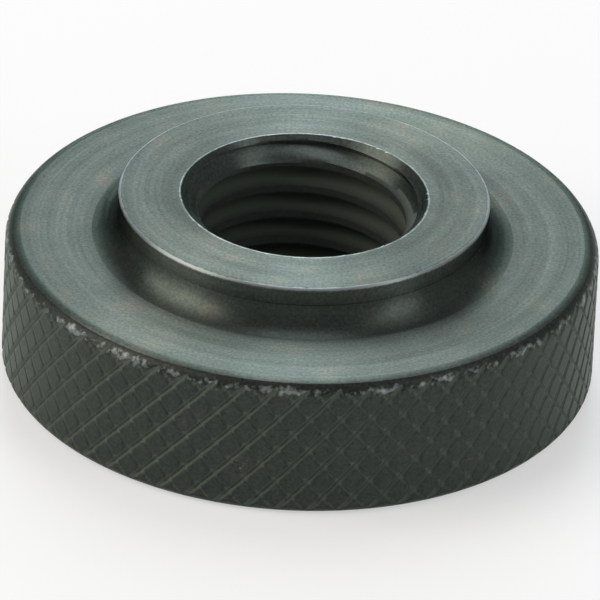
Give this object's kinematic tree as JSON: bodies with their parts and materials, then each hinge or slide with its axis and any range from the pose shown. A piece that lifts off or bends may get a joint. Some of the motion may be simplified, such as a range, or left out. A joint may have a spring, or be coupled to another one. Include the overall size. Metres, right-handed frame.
{
  "type": "knurled thumb nut",
  "caption": "Round steel thumb nut turned by hand: a thick disc with a diamond-knurled rim, a low raised boss and a threaded through bore",
  "frame": {"origin": "centre of the flat face the nut rests on, the one away from the boss", "axes": "+Z along the thread's axis, from the resting face towards the boss; X and Y lie in the resting face"},
  "size_m": [0.04, 0.04, 0.013],
  "materials": {
    "black_oxide_steel": "turned steel with a dark satin black-oxide finish"
  },
  "bodies": {
    "root": {"thumb_nut": "black_oxide_steel"}
  },
  "joints": []
}
